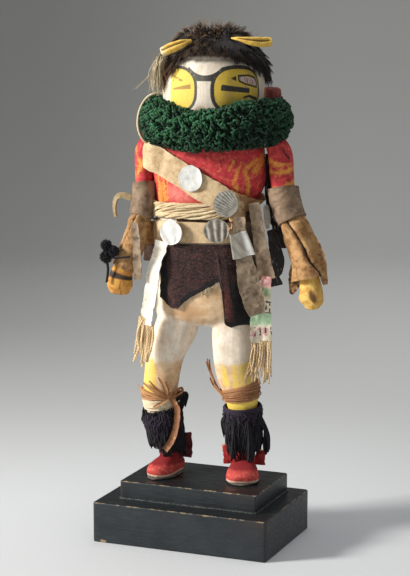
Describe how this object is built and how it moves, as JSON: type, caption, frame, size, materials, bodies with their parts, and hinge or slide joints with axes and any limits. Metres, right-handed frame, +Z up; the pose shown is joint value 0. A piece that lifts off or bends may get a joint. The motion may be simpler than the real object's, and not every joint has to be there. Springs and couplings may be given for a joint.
{
  "type": "kachina doll",
  "caption": "Carved and painted wooden figure with fur cap, yarn ruff, leather dress and tin discs, standing on a stepped black base.",
  "frame": {"origin": "middle of the lower block's underside, on the surface that the doll stands on", "axes": "+Z up; the base is square to X and Y with its front toward -Y; the figure on it is turned 10 degrees about +Z, toward +X"},
  "size_m": [0.1795, 0.1174, 0.4192],
  "materials": {
    "black_paint": "black paint on wood, satin, rubbed through to the wood along its edges",
    "pad": "thin dark pad",
    "painted_wood": "carved light wood with a thin chalky white ground, painted red and yellow on the chest, black and yellow on the mask and red on the feet",
    "painted_wood_red": "carved wood painted red with yellow streaks, hands yellow ochre",
    "green_yarn": "dark green wool yarn in short loops",
    "fur": "dark brown fur on its hide",
    "yellow_hide": "rolled rawhide painted yellow",
    "red_wood": "wood painted red-brown",
    "pale_fibre": "dry plant fibre",
    "cream_cord": "twisted cream cord",
    "tan_leather": "soft tan leather, worn and creased",
    "dark_wool": "coarse dark brown wool weave with reddish flecks",
    "tin": "thin tinplate, dented, some of it ribbed",
    "white_hide": "white hide, slightly soiled",
    "grey_hide": "grey-brown suede",
    "printed_cloth": "thin cotton cloth in pale green and cream with dark bars, frayed",
    "dark_hide": "dark brown hide",
    "black_ribbon": "black strips with a dull shine",
    "ochre_hide": "ochre rawhide",
    "navy_yarn": "dark navy wool yarn",
    "husk": "dry plant husk",
    "red_leather": "red-dyed leather",
    "maroon_cloth": "dark maroon cloth"
  },
  "bodies": {
    "root": {"base_lower": "black_paint", "base_upper": "black_paint", "foot_pad_right": "pad", "foot_pad_left": "pad", "body": "painted_wood", "arm_right": "painted_wood_red", "arm_left": "painted_wood_red", "ruff": "green_yarn", "fur_cap": "fur", "horn_right": "yellow_hide", "horn_left": "yellow_hide", "ear_left": "red_wood", "fibre_tuft": "pale_fibre", "waist_cord": "cream_cord", "belt": "tan_leather", "bandolier": "tan_leather", "kilt": "dark_wool", "tin_disc_chest_upper": "tin", "tin_disc_chest_lower": "tin", "tin_disc_belt_right": "tin", "tin_disc_belt_left": "tin", "sash_right": "white_hide", "sash_left": "grey_hide", "sash_left_end": "printed_cloth", "tin_clip": "tin", "strip_grey_left": "grey_hide", "strip_brown_left": "dark_hide", "strip_pale_left": "white_hide", "ribbon_black_left": "black_ribbon", "strip_olive_left": "dark_hide", "ribbon_curved_left": "black_ribbon", "strip_grey_right": "grey_hide", "strip_ochre_right": "ochre_hide", "strip_dark_right": "dark_hide", "cuff_right": "grey_hide", "cuff_left": "grey_hide", "forearm_wrap_right": "tan_leather", "forearm_wrap_left": "tan_leather", "rawhide_curl": "ochre_hide", "yarn_pompons": "navy_yarn", "garter_right": "tan_leather", "husk_tie_right": "husk", "husk_band_left": "husk", "yarn_wrap_right": "navy_yarn", "yarn_wrap_left": "navy_yarn", "ankle_flap_right": "maroon_cloth", "ankle_flap_left_inner": "red_leather", "ankle_flap_left_outer": "red_leather"}
  },
  "joints": []
}
